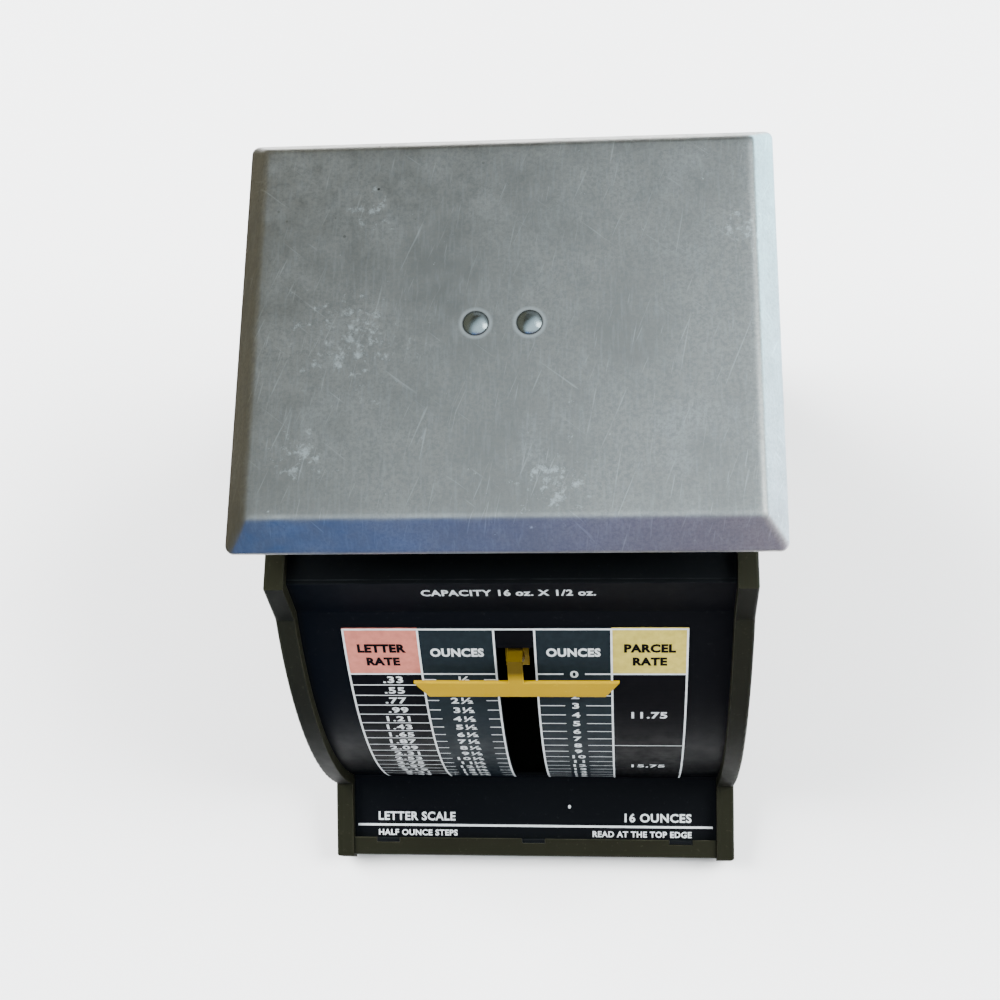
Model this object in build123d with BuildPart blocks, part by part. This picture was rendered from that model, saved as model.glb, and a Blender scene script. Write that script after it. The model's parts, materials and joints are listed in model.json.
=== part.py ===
"""Spring letter scale: a case with a curved dial, a lever and check link, and a bevelled platform.

Frame: X to the right, Y to the rear, Z up, origin under the middle of the object.  Millimetres.
"""
from build123d import *
from math import atan2, cos, degrees, radians, sin, sqrt
import os

os.makedirs("parts", exist_ok=True)

# Case
CASE_WIDTH = 99.0
CASE_FRONT_Y = -70.6
CASE_REAR_Y = 65.5
CASE_BOTTOM_Z = 2.6
ROOF_Z = 96.9
FOOT_FRONT_Z = 7.6           # top of the case's front edge
FOOT_SLOPE = 17.0            # degrees, the sloping foot in front of the dial
FOLD_Y = -21.8               # fold between the roof and the steep strip above the dial
SIDE_WALL = 1.2
RIM_WIDTH = 4.2              # hem round each side panel, seen from the front
RIM_DEPTH = 2.4              # how far the hem stands proud of the face
SHEET = 1.0

# Dial and lever motion
PIVOT_Y = 50.0
PIVOT_Z = 15.0
RIM_RADIUS = 103.2           # outer line of the case round the dial, about the main pivot
DIAL_TOP_ANGLE = 42.8        # end of the case's arc, degrees above the horizontal
ZERO_ANGLE = 33.3            # pointer's reading edge with nothing on the platform
STEP_PER_OUNCE = 2.04
SLOT_HALF_WIDTH = 4.0
SLOT_LOW_ANGLE = -1.6
SLOT_HIGH_ANGLE = 37.7
CHART_WIDTH = 72.6
CHART_THICKNESS = 0.3
CHART_LOW_ANGLE = -1.3
CHART_HIGH_ANGLE = 40.7

# Platform
PLATFORM_WIDTH = 108.0
PLATFORM_DEPTH = 88.0
PLATFORM_MID_Y = 26.6
PLATFORM_TOP_Z = 117.0
BEVEL_RUN = 4.85
BEVEL_RISE = 7.2
HEM_DROP = 1.2

# Linkage: the lever and the check link are equal and parallel
ARM = 18.0                   # main pivot to the platform's pin
ARM_REST_ANGLE = STEP_PER_OUNCE * 8
LINK_RISE = 48.0             # check shaft above the main shaft
PIN_DIAMETER = 3.0
SHAFT_DIAMETER = 4.0
RUNNING_CLEARANCE = 0.05
PLATE = 1.5

# Derived places
HALF_CASE = CASE_WIDTH / 2
WALL_INNER = HALF_CASE - SIDE_WALL
PANEL_HALF = WALL_INNER - 0.1
FACE_RADIUS = RIM_RADIUS - RIM_DEPTH
PAN_TOP_Z = CASE_BOTTOM_Z + SIDE_WALL
ROOF_TOP_Z = ROOF_Z - RIM_DEPTH
ROOF_UNDER_Z = ROOF_TOP_Z - SHEET
CHECK_Z = PIVOT_Z + LINK_RISE
PIN_Y = PIVOT_Y - ARM * cos(radians(ARM_REST_ANGLE))
PIN_Z = PIVOT_Z + ARM * sin(radians(ARM_REST_ANGLE))
LINK_PIN_Z = PIN_Z + LINK_RISE


def polar(radius, angle):
    """Point (Y, Z) at a radius from the main pivot, the angle in degrees above the front."""
    return (PIVOT_Y - radius * cos(radians(angle)), PIVOT_Z + radius * sin(radians(angle)))


def band(inner_radius, outer_radius, low_angle, high_angle):
    """Add a ring sector about the main pivot to the open YZ sketch."""
    middle = (low_angle + high_angle) / 2
    with BuildLine() as outline:
        inner = ThreePointArc(*[polar(inner_radius, a) for a in (low_angle, middle, high_angle)])
        outer = ThreePointArc(*[polar(outer_radius, a) for a in (low_angle, middle, high_angle)])
        Line(inner @ 0, outer @ 0)
        Line(inner @ 1, outer @ 1)
    make_face(outline.edges())


def meet_circle(start, direction, radius, leaving):
    """Point where a line from start enters or leaves the circle of a radius about the main pivot."""
    from_pivot = (start[0] - PIVOT_Y, start[1] - PIVOT_Z)
    along = from_pivot[0] * direction[0] + from_pivot[1] * direction[1]
    half_chord = sqrt(along ** 2 - from_pivot[0] ** 2 - from_pivot[1] ** 2 + radius ** 2)
    distance = -along + (half_chord if leaving else -half_chord)
    return (start[0] + distance * direction[0], start[1] + distance * direction[1])


def case_face(inset):
    """Side profile of the case in local (Y, Z), inset from its outer line except at the bottom."""
    radius = RIM_RADIUS - inset
    foot = (cos(radians(FOOT_SLOPE)), sin(radians(FOOT_SLOPE)))
    foot_start = (CASE_FRONT_Y + inset * foot[1], FOOT_FRONT_Z - inset * foot[0])
    front_y = CASE_FRONT_Y + inset
    foot_front = (front_y, foot_start[1] + (front_y - foot_start[0]) * foot[1] / foot[0])
    crease = meet_circle(foot_start, foot, radius, leaving=False)
    steep_run = FOLD_Y - polar(RIM_RADIUS, DIAL_TOP_ANGLE)[0]
    steep_rise = ROOF_Z - polar(RIM_RADIUS, DIAL_TOP_ANGLE)[1]
    steep_length = sqrt(steep_run ** 2 + steep_rise ** 2)
    steep = (steep_run / steep_length, steep_rise / steep_length)
    steep_start = (FOLD_Y + inset * steep[1], ROOF_Z - inset * steep[0])
    shoulder = meet_circle(steep_start, steep, radius, leaving=True)
    roof_z = ROOF_Z - inset
    fold = (steep_start[0] + (roof_z - steep_start[1]) * steep[0] / steep[1], roof_z)
    low_angle, high_angle = [
        degrees(atan2(z - PIVOT_Z, PIVOT_Y - y)) for y, z in (crease, shoulder)
    ]
    with BuildSketch() as face:
        with BuildLine():
            Polyline((front_y, CASE_BOTTOM_Z), foot_front, crease)
            ThreePointArc(crease, polar(radius, (low_angle + high_angle) / 2), shoulder)
            Polyline(
                shoulder,
                fold,
                (CASE_REAR_Y - inset, roof_z),
                (CASE_REAR_Y - inset, CASE_BOTTOM_Z),
                (front_y, CASE_BOTTOM_Z),
            )
        make_face()
    return face.sketch_local


OUTER_FACE = case_face(0)
SKIN_FACE = case_face(RIM_DEPTH)
CORE_FACE = case_face(RIM_DEPTH + SHEET)
LIP_INSET = 0.6
LIP_FACE = case_face(LIP_INSET)
LIP_UNDER_FACE = case_face(LIP_INSET + SIDE_WALL)


def save(part, name):
    """Label a finished piece and write it as parts/<name>.step."""
    part.label = name
    export_step(part, f"parts/{name}.step")


def screws(name, places, shank, head_diameter, head_height, shank_diameter):
    """Pan-head screws as one node: each place is a Plane on the seat, its normal out of the head."""
    with BuildPart() as group:
        for place in places:
            with BuildSketch(place):
                Circle(head_diameter / 2)
            extrude(amount=head_height)
            with BuildSketch(place):
                Circle(shank_diameter / 2)
            extrude(amount=-shank)
            with BuildSketch(place.offset(head_height)):
                Rectangle(head_diameter, head_diameter / 7)
            extrude(amount=-head_height / 2, mode=Mode.SUBTRACT)
    save(group.part, name)


# ---------------------------------------------------------------- case

def side_panel(name, side):
    """Flat side wall with a proud hem along the front, the roof and the rear."""
    outer_x = side * HALF_CASE
    with BuildPart() as panel:
        with BuildSketch(Plane.YZ.offset(outer_x)):
            add(OUTER_FACE)
        extrude(amount=-side * SIDE_WALL)
        with BuildSketch(Plane.YZ.offset(outer_x)):
            add(OUTER_FACE)
            add(SKIN_FACE, mode=Mode.SUBTRACT)
        extrude(amount=-side * RIM_WIDTH)
        outline = panel.edges().filter_by_position(Axis.X, outer_x - 0.01, outer_x + 0.01)
        fillet(outline.filter_by_position(Axis.Z, CASE_BOTTOM_Z + 0.1, ROOF_Z + 1), radius=0.7)
    save(panel.part, name)


side_panel("side_panel_left", -1)
side_panel("side_panel_right", 1)

ROOF_JOIN_Y = FOLD_Y + 2.6
TAB_SPACING = 36.5
TAB_WIDTH = 5.6
LIP_REAR_Y = CASE_FRONT_Y + 4.7
TAB_Y = LIP_REAR_Y - 0.6

with BuildPart() as dial_panel:
    with BuildSketch(Plane.YZ.offset(-PANEL_HALF)):
        add(SKIN_FACE)
        add(CORE_FACE, mode=Mode.SUBTRACT)
        with Locations((CASE_FRONT_Y + SIDE_WALL + 0.1, PAN_TOP_Z + 0.05)):
            Rectangle(ROOF_JOIN_Y - CASE_FRONT_Y - SIDE_WALL - 0.1, ROOF_Z,
                      align=(Align.MIN, Align.MIN), mode=Mode.INTERSECT)
    extrude(amount=2 * PANEL_HALF)
    with BuildSketch(Plane.YZ.offset(-SLOT_HALF_WIDTH)):
        band(FACE_RADIUS - 5, RIM_RADIUS + 5, SLOT_LOW_ANGLE, SLOT_HIGH_ANGLE)
    extrude(amount=2 * SLOT_HALF_WIDTH, mode=Mode.SUBTRACT)
    with BuildSketch(Plane.XY.offset(PAN_TOP_Z + 1.4)):
        with GridLocations(TAB_SPACING, 1, 3, 1):
            with Locations((0, TAB_Y)):
                Rectangle(TAB_WIDTH, 0.9)
    extrude(amount=3.0)
save(dial_panel.part, "dial_panel")

ROOF_OPENING_HALF = 11.0
ROOF_OPENING_FRONT_Y = -13.5
ROOF_OPENING_REAR_Y = 41.0
FLANGE_DROP = 11.0
REAR_SHEET_OUT_Y = CASE_REAR_Y - RIM_DEPTH
REAR_SHEET_IN_Y = REAR_SHEET_OUT_Y - SHEET
SPRING_Y = polar(45.0, ZERO_ANGLE)[0]
BRIDGE_SCREW_X = 14.5
REAR_SCREW_X = 38.0
REAR_SCREW_LOW_Z = 8.6
REAR_SCREW_HIGH_Z = 87.5

with BuildPart() as top_cover:
    with BuildSketch(Plane.XY.offset(ROOF_UNDER_Z)):
        with Locations((0, ROOF_JOIN_Y)):
            Rectangle(2 * PANEL_HALF, REAR_SHEET_OUT_Y - ROOF_JOIN_Y, align=(Align.CENTER, Align.MIN))
        with Locations((0, ROOF_OPENING_FRONT_Y)):
            Rectangle(2 * ROOF_OPENING_HALF, ROOF_OPENING_REAR_Y - ROOF_OPENING_FRONT_Y,
                      align=(Align.CENTER, Align.MIN), mode=Mode.SUBTRACT)
        with Locations((-BRIDGE_SCREW_X, SPRING_Y), (BRIDGE_SCREW_X, SPRING_Y)):
            Circle(1.25, mode=Mode.SUBTRACT)
    extrude(amount=SHEET)
    with BuildSketch(Plane.XZ.offset(-REAR_SHEET_IN_Y)):
        with Locations((0, ROOF_UNDER_Z)):
            Rectangle(2 * PANEL_HALF, FLANGE_DROP, align=(Align.CENTER, Align.MAX))
        with Locations((-REAR_SCREW_X, REAR_SCREW_HIGH_Z), (REAR_SCREW_X, REAR_SCREW_HIGH_Z)):
            Circle(1.25, mode=Mode.SUBTRACT)
    extrude(amount=SHEET)
save(top_cover.part, "top_cover")

with BuildPart() as rear_cover:
    with BuildSketch(Plane.XZ.offset(-REAR_SHEET_OUT_Y)):
        with Locations((0, PAN_TOP_Z)):
            Rectangle(2 * PANEL_HALF, ROOF_UNDER_Z - PAN_TOP_Z, align=(Align.CENTER, Align.MIN))
        for height in (REAR_SCREW_LOW_Z, REAR_SCREW_HIGH_Z):
            with Locations((-REAR_SCREW_X, height), (REAR_SCREW_X, height)):
                Circle(1.25, mode=Mode.SUBTRACT)
    extrude(amount=SHEET)
save(rear_cover.part, "rear_cover")

FOOT_X = 40.0
FOOT_FRONT_Y = -58.0
FOOT_REAR_Y = 54.0
FOOT_PLACES = [(x, y) for x in (-FOOT_X, FOOT_X) for y in (FOOT_FRONT_Y, FOOT_REAR_Y)]
FOOT_DIAMETER = 10.0
FOOT_STEM = 4.0
FRAME_SCREW_X = 11.0
FRAME_Y = 50.0
FRAME_FOOT_DEPTH = 22.0
FRAME_SCREW_PLACES = [(x, FRAME_Y + dy) for x in (-FRAME_SCREW_X, FRAME_SCREW_X) for dy in (-8.0, 8.0)]
STOP_Y = -12.0

with BuildPart() as base_pan:
    with BuildSketch(Plane.XY.offset(CASE_BOTTOM_Z)):
        with Locations((0, CASE_FRONT_Y + RIM_DEPTH)):
            Rectangle(2 * PANEL_HALF, REAR_SHEET_OUT_Y - CASE_FRONT_Y - RIM_DEPTH,
                      align=(Align.CENTER, Align.MIN))
        with Locations((0, CASE_FRONT_Y + LIP_INSET)):
            Rectangle(CASE_WIDTH - 2 * RIM_WIDTH, RIM_DEPTH, align=(Align.CENTER, Align.MIN))
        with Locations(*FOOT_PLACES):
            Circle(FOOT_STEM / 2, mode=Mode.SUBTRACT)
        with Locations(*FRAME_SCREW_PLACES):
            Circle(1.5, mode=Mode.SUBTRACT)
        with Locations((0, STOP_Y)):
            Circle(1.5, mode=Mode.SUBTRACT)
    extrude(amount=SIDE_WALL)
    with BuildSketch(Plane.YZ.offset(-HALF_CASE + RIM_WIDTH)):
        add(LIP_FACE)
        add(LIP_UNDER_FACE, mode=Mode.SUBTRACT)
        with Locations((CASE_FRONT_Y, CASE_BOTTOM_Z)):
            Rectangle(LIP_REAR_Y - CASE_FRONT_Y, 10, align=(Align.MIN, Align.MIN), mode=Mode.INTERSECT)
    extrude(amount=CASE_WIDTH - 2 * RIM_WIDTH)
    with BuildSketch(Plane.XY.offset(PAN_TOP_Z + 0.2)):
        with GridLocations(TAB_SPACING, 1, 3, 1):
            with Locations((0, LIP_REAR_Y)):
                Rectangle(TAB_WIDTH + 0.2, 2.3)
    extrude(amount=6, mode=Mode.SUBTRACT)
    with BuildSketch(Plane.XZ.offset(-REAR_SHEET_IN_Y)):
        with Locations((0, PAN_TOP_Z)):
            Rectangle(2 * PANEL_HALF, FLANGE_DROP - 2, align=(Align.CENTER, Align.MIN))
        with Locations((-REAR_SCREW_X, REAR_SCREW_LOW_Z), (REAR_SCREW_X, REAR_SCREW_LOW_Z)):
            Circle(1.25, mode=Mode.SUBTRACT)
    extrude(amount=SHEET)
save(base_pan.part, "base_pan")

with BuildPart() as rubber_feet:
    with BuildSketch(Plane.XY):
        with Locations(*FOOT_PLACES):
            Circle(FOOT_DIAMETER / 2)
    extrude(amount=CASE_BOTTOM_Z)
    chamfer(rubber_feet.edges().group_by(Axis.Z)[0], length=0.6)
    with BuildSketch(Plane.XY.offset(CASE_BOTTOM_Z)):
        with Locations(*FOOT_PLACES):
            Circle(FOOT_STEM / 2)
    extrude(amount=SIDE_WALL + 1.2)
save(rubber_feet.part, "rubber_feet")

with BuildPart() as rate_chart:
    with BuildSketch(Plane.YZ.offset(-CHART_WIDTH / 2)):
        band(FACE_RADIUS, FACE_RADIUS + CHART_THICKNESS, CHART_LOW_ANGLE, CHART_HIGH_ANGLE)
    extrude(amount=CHART_WIDTH)
    with BuildSketch(Plane.YZ.offset(-SLOT_HALF_WIDTH)):
        band(FACE_RADIUS - 5, RIM_RADIUS + 5, CHART_LOW_ANGLE - 1, SLOT_HIGH_ANGLE)
    extrude(amount=2 * SLOT_HALF_WIDTH, mode=Mode.SUBTRACT)
save(rate_chart.part, "rate_chart")

REAR_SCREWS = [
    Plane(origin=(x, REAR_SHEET_OUT_Y, z), z_dir=(0, 1, 0))
    for x in (-REAR_SCREW_X, REAR_SCREW_X) for z in (REAR_SCREW_LOW_Z, REAR_SCREW_HIGH_Z)
]
screws("rear_cover_screws", REAR_SCREWS, 3.4, 5.0, 1.5, 2.5)

# ---------------------------------------------------------------- mechanism on the case

CHEEK_X = 15.25
FRAME_HEIGHT = 68.0

with BuildPart() as mechanism_frame:
    with BuildSketch(Plane.XY.offset(PAN_TOP_Z)):
        with Locations((0, FRAME_Y)):
            Rectangle(2 * (CHEEK_X + PLATE), FRAME_FOOT_DEPTH)
            Rectangle(2 * CHEEK_X - 14, FRAME_FOOT_DEPTH - 12, mode=Mode.SUBTRACT)
        with Locations(*FRAME_SCREW_PLACES):
            Circle(1.5, mode=Mode.SUBTRACT)
    extrude(amount=PLATE)
    for side in (-1, 1):
        with BuildSketch(Plane.YZ.offset(side * CHEEK_X)):
            with Locations((FRAME_Y, PAN_TOP_Z)):
                Trapezoid(FRAME_FOOT_DEPTH, FRAME_HEIGHT, 86, align=(Align.CENTER, Align.MIN))
            with Locations((PIVOT_Y, PIVOT_Z)):
                Circle(SHAFT_DIAMETER / 2, mode=Mode.SUBTRACT)
            with Locations((PIVOT_Y, CHECK_Z)):
                Circle(PIN_DIAMETER / 2, mode=Mode.SUBTRACT)
            with Locations((FRAME_Y, (PIVOT_Z + CHECK_Z) / 2)):
                SlotOverall(24, 7, rotation=90, mode=Mode.SUBTRACT)
        extrude(amount=side * PLATE)
save(mechanism_frame.part, "mechanism_frame")

FRAME_SCREWS = [Plane.XY.offset(PAN_TOP_Z + PLATE).shift_origin((x, y, PAN_TOP_Z + PLATE))
                for x, y in FRAME_SCREW_PLACES]
screws("frame_screws", FRAME_SCREWS, PLATE + SIDE_WALL, 5.4, 1.8, 3.0)

CLIP_X = CHEEK_X + PLATE
CLIP_THICKNESS = 0.8
CLIP_GROOVE = 0.4            # depth of the groove that a clip sits in


def shaft(name, height, diameter):
    """Shaft across the frame's cheeks, grooved at both ends for its clips."""
    half = CLIP_X + CLIP_THICKNESS + 1.4
    with BuildPart() as rod:
        with BuildSketch(Plane.YZ.offset(-half)):
            with Locations((PIVOT_Y, height)):
                Circle(diameter / 2)
        extrude(amount=2 * half)
        chamfer(rod.edges().filter_by(GeomType.CIRCLE), length=0.4)
        for start in (-CLIP_X - CLIP_THICKNESS, CLIP_X):
            with BuildSketch(Plane.YZ.offset(start)):
                with Locations((PIVOT_Y, height)):
                    Circle(diameter / 2)
                    Circle(diameter / 2 - CLIP_GROOVE, mode=Mode.SUBTRACT)
            extrude(amount=CLIP_THICKNESS, mode=Mode.SUBTRACT)
    save(rod.part, name)


shaft("main_shaft", PIVOT_Z, SHAFT_DIAMETER)
shaft("check_shaft", CHECK_Z, PIN_DIAMETER)


def clips(name, places):
    """Open retaining clips: each place is (X where the clip starts, Y, Z, inner diameter)."""
    with BuildPart() as group:
        for start, y, z, inner in places:
            with BuildSketch(Plane.YZ.offset(start)):
                with Locations((y, z)):
                    Circle(inner / 2 + 1.7)
                    Circle(inner / 2, mode=Mode.SUBTRACT)
                    with Locations((0, inner / 2 + 1)):
                        Rectangle(inner * 0.7, inner + 2, mode=Mode.SUBTRACT)
            extrude(amount=CLIP_THICKNESS)
    save(group.part, name)


clips("shaft_clips", [
    (start, PIVOT_Y, z, diameter - 2 * CLIP_GROOVE)
    for start in (-CLIP_X - CLIP_THICKNESS, CLIP_X)
    for z, diameter in ((PIVOT_Z, SHAFT_DIAMETER), (CHECK_Z, PIN_DIAMETER))
])

STOP_HEIGHT = 5.6
with BuildPart() as overload_stop:
    with BuildSketch(Plane.XY.offset(PAN_TOP_Z)):
        with Locations((0, STOP_Y)):
            Circle(3.5)
    extrude(amount=STOP_HEIGHT)
    fillet(overload_stop.edges().group_by(Axis.Z)[-1], radius=1.2)
    with BuildSketch(Plane.XY.offset(CASE_BOTTOM_Z)):
        with Locations((0, STOP_Y)):
            Circle(1.5)
    extrude(amount=SIDE_WALL)
save(overload_stop.part, "overload_stop")

# ---------------------------------------------------------------- zero adjuster under the platform

BRIDGE_HALF = 18.0
BRIDGE_DEPTH = 14.0
ROD_DIAMETER = 3.0
BUSHING_TOP_Z = ROOF_TOP_Z + 2.2
WHEEL_HEIGHT = 3.0
WHEEL_RADIUS = 7.0
KNURLS = 36
ROD_TOP_Z = BUSHING_TOP_Z + WHEEL_HEIGHT + 3.4
EYE_Z = 86.0                 # centre of the hanger's eye
EYE_RADIUS = 1.2

with BuildPart() as adjuster_bridge:
    with BuildSketch(Plane.XY.offset(ROOF_UNDER_Z - PLATE)):
        with Locations((0, SPRING_Y)):
            Rectangle(2 * BRIDGE_HALF, BRIDGE_DEPTH)
            with Locations((-BRIDGE_SCREW_X, 0), (BRIDGE_SCREW_X, 0)):
                Circle(1.25, mode=Mode.SUBTRACT)
    extrude(amount=PLATE)
    with BuildSketch(Plane.XY.offset(ROOF_UNDER_Z - PLATE - 1.5)):
        with Locations((0, SPRING_Y)):
            Circle(3.6)
    extrude(until=Until.NEXT)
    with BuildSketch(Plane.XY.offset(ROOF_UNDER_Z)):
        with Locations((0, SPRING_Y)):
            Circle(3.6)
    extrude(amount=BUSHING_TOP_Z - ROOF_UNDER_Z)
    with BuildSketch(Plane.XY.offset(ROOF_UNDER_Z - 10)):
        with Locations((0, SPRING_Y)):
            Circle(ROD_DIAMETER / 2 + RUNNING_CLEARANCE)
    extrude(amount=20, mode=Mode.SUBTRACT)
save(adjuster_bridge.part, "adjuster_bridge")

BRIDGE_SCREWS = [Plane(origin=(x, SPRING_Y, ROOF_TOP_Z), z_dir=(0, 0, 1))
                 for x in (-BRIDGE_SCREW_X, BRIDGE_SCREW_X)]
screws("bridge_screws", BRIDGE_SCREWS, SHEET + PLATE, 4.6, 1.3, 2.5)

with BuildPart() as zero_adjust_wheel:
    with BuildSketch(Plane.XY.offset(BUSHING_TOP_Z + 0.05)):
        with Locations((0, SPRING_Y)):
            Circle(WHEEL_RADIUS)
            Circle(ROD_DIAMETER / 2 + RUNNING_CLEARANCE, mode=Mode.SUBTRACT)
            with PolarLocations(WHEEL_RADIUS, KNURLS):
                Circle(0.3, mode=Mode.SUBTRACT)
    extrude(amount=WHEEL_HEIGHT)
save(zero_adjust_wheel.part, "zero_adjust_wheel")

with BuildPart() as spring_hanger:
    with BuildSketch(Plane.XY.offset(EYE_Z + 2.4)):
        with Locations((0, SPRING_Y)):
            Circle(ROD_DIAMETER / 2)
    extrude(amount=ROD_TOP_Z - EYE_Z - 2.4)
    chamfer(spring_hanger.edges().group_by(Axis.Z)[-1], length=0.4)
    with BuildSketch(Plane.YZ.offset(-0.75)):
        with Locations((SPRING_Y, EYE_Z)):
            Circle(2.2)
        with Locations((SPRING_Y, EYE_Z + 1.6)):
            Rectangle(2.9, 3.2)
        with Locations((SPRING_Y, EYE_Z)):
            Circle(EYE_RADIUS, mode=Mode.SUBTRACT)
    extrude(amount=1.5)
save(spring_hanger.part, "spring_hanger")

# ---------------------------------------------------------------- lever, pointer and check link

HUB_RADIUS = 4.6
ARM_PLATE_X = 4.5
LEVER_HALF_THICKNESS = 1.25
LEVER_END_RADIUS = 95.0
SPRING_ARM = 45.0
HOOK_HOLE = polar(SPRING_ARM, ZERO_ANGLE)
PAD_LOW_ANGLE = ZERO_ANGLE - 0.8
NECK_ANGLE = 36.9
NECK_THICKNESS = 0.8
NECK_HALF_WIDTH = 1.6
TAB_HALF_WIDTH = 2.55
POINTER_RADIUS = FACE_RADIUS + CHART_THICKNESS + 1.8


def off_axis(radius, angle, rise):
    """Point at a radius along the lever's long arm, raised square to the arm."""
    y, z = polar(radius, angle)
    return (y + rise * sin(radians(angle)), z + rise * cos(radians(angle)))


ARM_AXIS = ZERO_ANGLE + 1.2

with BuildPart() as main_lever:
    with BuildSketch(Plane.YZ.offset(-ARM_PLATE_X - PLATE)):
        with Locations((PIVOT_Y, PIVOT_Z)):
            Circle(HUB_RADIUS)
    extrude(amount=2 * (ARM_PLATE_X + PLATE))
    for start in (-ARM_PLATE_X - PLATE, ARM_PLATE_X):
        with BuildSketch(Plane.YZ.offset(start)):
            add(SlotCenterToCenter(ARM, 7.6, mode=Mode.PRIVATE).moved(
                Location(((PIVOT_Y + PIN_Y) / 2, (PIVOT_Z + PIN_Z) / 2), -ARM_REST_ANGLE)))
        extrude(amount=PLATE)
    with BuildSketch(Plane.YZ.offset(-LEVER_HALF_THICKNESS)):
        with BuildLine():
            Polyline(
                off_axis(0, ARM_AXIS, 4.2),
                off_axis(SPRING_ARM, ARM_AXIS, 3.4),
                off_axis(LEVER_END_RADIUS, ARM_AXIS, 2.4),
                off_axis(LEVER_END_RADIUS, ARM_AXIS, -2.4),
                off_axis(SPRING_ARM, ARM_AXIS, -3.6),
                off_axis(0, ARM_AXIS, -4.2),
                close=True,
            )
        make_face()
        with Locations(HOOK_HOLE):
            Circle(1.2, mode=Mode.SUBTRACT)
        for radius in (20.0, 31.0, 58.0, 70.0, 81.0):
            with Locations(off_axis(radius, ARM_AXIS, 0)):
                Circle(1.7, mode=Mode.SUBTRACT)
    extrude(amount=2 * LEVER_HALF_THICKNESS)
    with BuildSketch(Plane.YZ.offset(-TAB_HALF_WIDTH)):
        band(LEVER_END_RADIUS - 0.6, LEVER_END_RADIUS + 0.8, PAD_LOW_ANGLE - 0.4, NECK_ANGLE)
    extrude(amount=2 * TAB_HALF_WIDTH)
    with BuildSketch(Plane.YZ.offset(-20)):
        with Locations((PIVOT_Y, PIVOT_Z)):
            Circle(SHAFT_DIAMETER / 2 + RUNNING_CLEARANCE)
        with Locations((PIN_Y, PIN_Z)):
            Circle(PIN_DIAMETER / 2)
    extrude(amount=40, mode=Mode.SUBTRACT)
save(main_lever.part, "main_lever")

TAB_RADIUS = LEVER_END_RADIUS + 0.8
BAR_TOP_WIDTH = 43.8
BAR_LOW_WIDTH = 37.8
BAR_HEIGHT = 4.4
BAR_ANGLE = BAR_HEIGHT / POINTER_RADIUS * 57.3

with BuildPart() as pointer:
    with BuildSketch(Plane.YZ.offset(-TAB_HALF_WIDTH)):
        band(TAB_RADIUS, TAB_RADIUS + NECK_THICKNESS, PAD_LOW_ANGLE - 0.4, NECK_ANGLE)
    extrude(amount=2 * TAB_HALF_WIDTH)
    with BuildSketch(Plane.YZ.offset(-NECK_HALF_WIDTH)):
        band(TAB_RADIUS, POINTER_RADIUS + NECK_THICKNESS, NECK_ANGLE - 0.45, NECK_ANGLE)
        band(POINTER_RADIUS, POINTER_RADIUS + NECK_THICKNESS, ZERO_ANGLE - 1, NECK_ANGLE)
    extrude(amount=2 * NECK_HALF_WIDTH)
    with BuildSketch(Plane.YZ.offset(-BAR_TOP_WIDTH / 2)):
        band(POINTER_RADIUS, POINTER_RADIUS + NECK_THICKNESS, ZERO_ANGLE - BAR_ANGLE, ZERO_ANGLE)
    extrude(amount=BAR_TOP_WIDTH)
    slant = (BAR_TOP_WIDTH - BAR_LOW_WIDTH) / 2
    top_y, top_z = polar(POINTER_RADIUS, ZERO_ANGLE)
    front = Plane(origin=(0, top_y, top_z), x_dir=(1, 0, 0),
                  z_dir=(0, -cos(radians(ZERO_ANGLE)), sin(radians(ZERO_ANGLE))))
    with BuildSketch(front.offset(-2)):
        for side in (-1, 1):
            with BuildLine():
                Polyline(
                    (side * BAR_TOP_WIDTH / 2, 0.01),
                    (side * (BAR_TOP_WIDTH / 2 + 2), 0.01),
                    (side * (BAR_TOP_WIDTH / 2 + 2), -BAR_HEIGHT - 1),
                    (side * (BAR_LOW_WIDTH / 2 - slant / BAR_HEIGHT), -BAR_HEIGHT - 1),
                    close=True,
                )
            make_face()
    extrude(amount=5, mode=Mode.SUBTRACT)
    screw_place = polar(TAB_RADIUS, ZERO_ANGLE + 0.7)
    screw_axis = (0, -cos(radians(ZERO_ANGLE + 0.7)), sin(radians(ZERO_ANGLE + 0.7)))
    with BuildSketch(Plane(origin=(0, *screw_place), z_dir=screw_axis)):
        Circle(0.9)
    extrude(amount=NECK_THICKNESS + 0.5, mode=Mode.SUBTRACT)
save(pointer.part, "pointer")

HEAD_SEAT = polar(TAB_RADIUS + NECK_THICKNESS + 0.02, ZERO_ANGLE + 0.7)
screws("pointer_screw", [Plane(origin=(0, *HEAD_SEAT), z_dir=screw_axis)], 0.8, 3.2, 1.1, 1.76)

LINK_PLATE_X = 4.0

with BuildPart() as check_link:
    with BuildSketch(Plane.YZ.offset(-LINK_PLATE_X - PLATE)):
        with Locations((PIVOT_Y, CHECK_Z)):
            Circle(3.4)
    extrude(amount=2 * (LINK_PLATE_X + PLATE))
    for start in (-LINK_PLATE_X - PLATE, LINK_PLATE_X):
        with BuildSketch(Plane.YZ.offset(start)):
            add(SlotCenterToCenter(ARM, 6.8, mode=Mode.PRIVATE).moved(
                Location(((PIVOT_Y + PIN_Y) / 2, (CHECK_Z + LINK_PIN_Z) / 2), -ARM_REST_ANGLE)))
        extrude(amount=PLATE)
    with BuildSketch(Plane.YZ.offset(-20)):
        with Locations((PIVOT_Y, CHECK_Z)):
            Circle(PIN_DIAMETER / 2 + RUNNING_CLEARANCE)
        with Locations((PIN_Y, LINK_PIN_Z)):
            Circle(PIN_DIAMETER / 2)
    extrude(amount=40, mode=Mode.SUBTRACT)
save(check_link.part, "check_link")

# ---------------------------------------------------------------- platform and its bracket

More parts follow.
